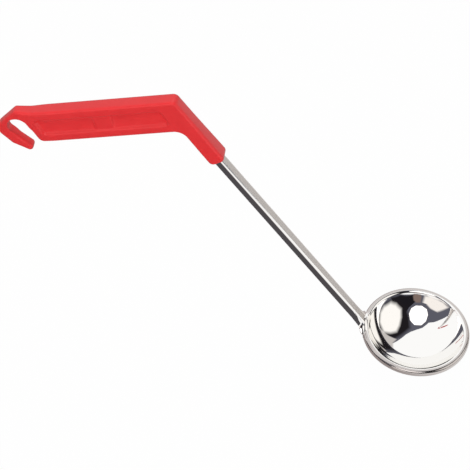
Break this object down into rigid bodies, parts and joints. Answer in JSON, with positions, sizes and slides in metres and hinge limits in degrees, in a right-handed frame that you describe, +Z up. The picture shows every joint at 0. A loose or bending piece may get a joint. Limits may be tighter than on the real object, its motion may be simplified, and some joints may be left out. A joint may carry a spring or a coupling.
{
  "type": "soup ladle",
  "caption": "Small portion ladle: round stainless bowl with a rolled lip, long folded steel shaft and a bent red plastic grip that ends in a hanging hook.",
  "frame": {"origin": "centre of the bowl's mouth, level with the top of its lip", "axes": "+Z up along the bowl's axis, +X away from the handle, Y across the handle"},
  "size_m": [0.2867, 0.0652, 0.1878],
  "materials": {
    "stainless_steel": "mirror polished bowl, lip and folds, satin front face on the shaft",
    "red_plastic": "satin injection-moulded plastic with slightly polished edges"
  },
  "bodies": {
    "root": {"ladle": "stainless_steel", "grip": "red_plastic"}
  },
  "joints": []
}
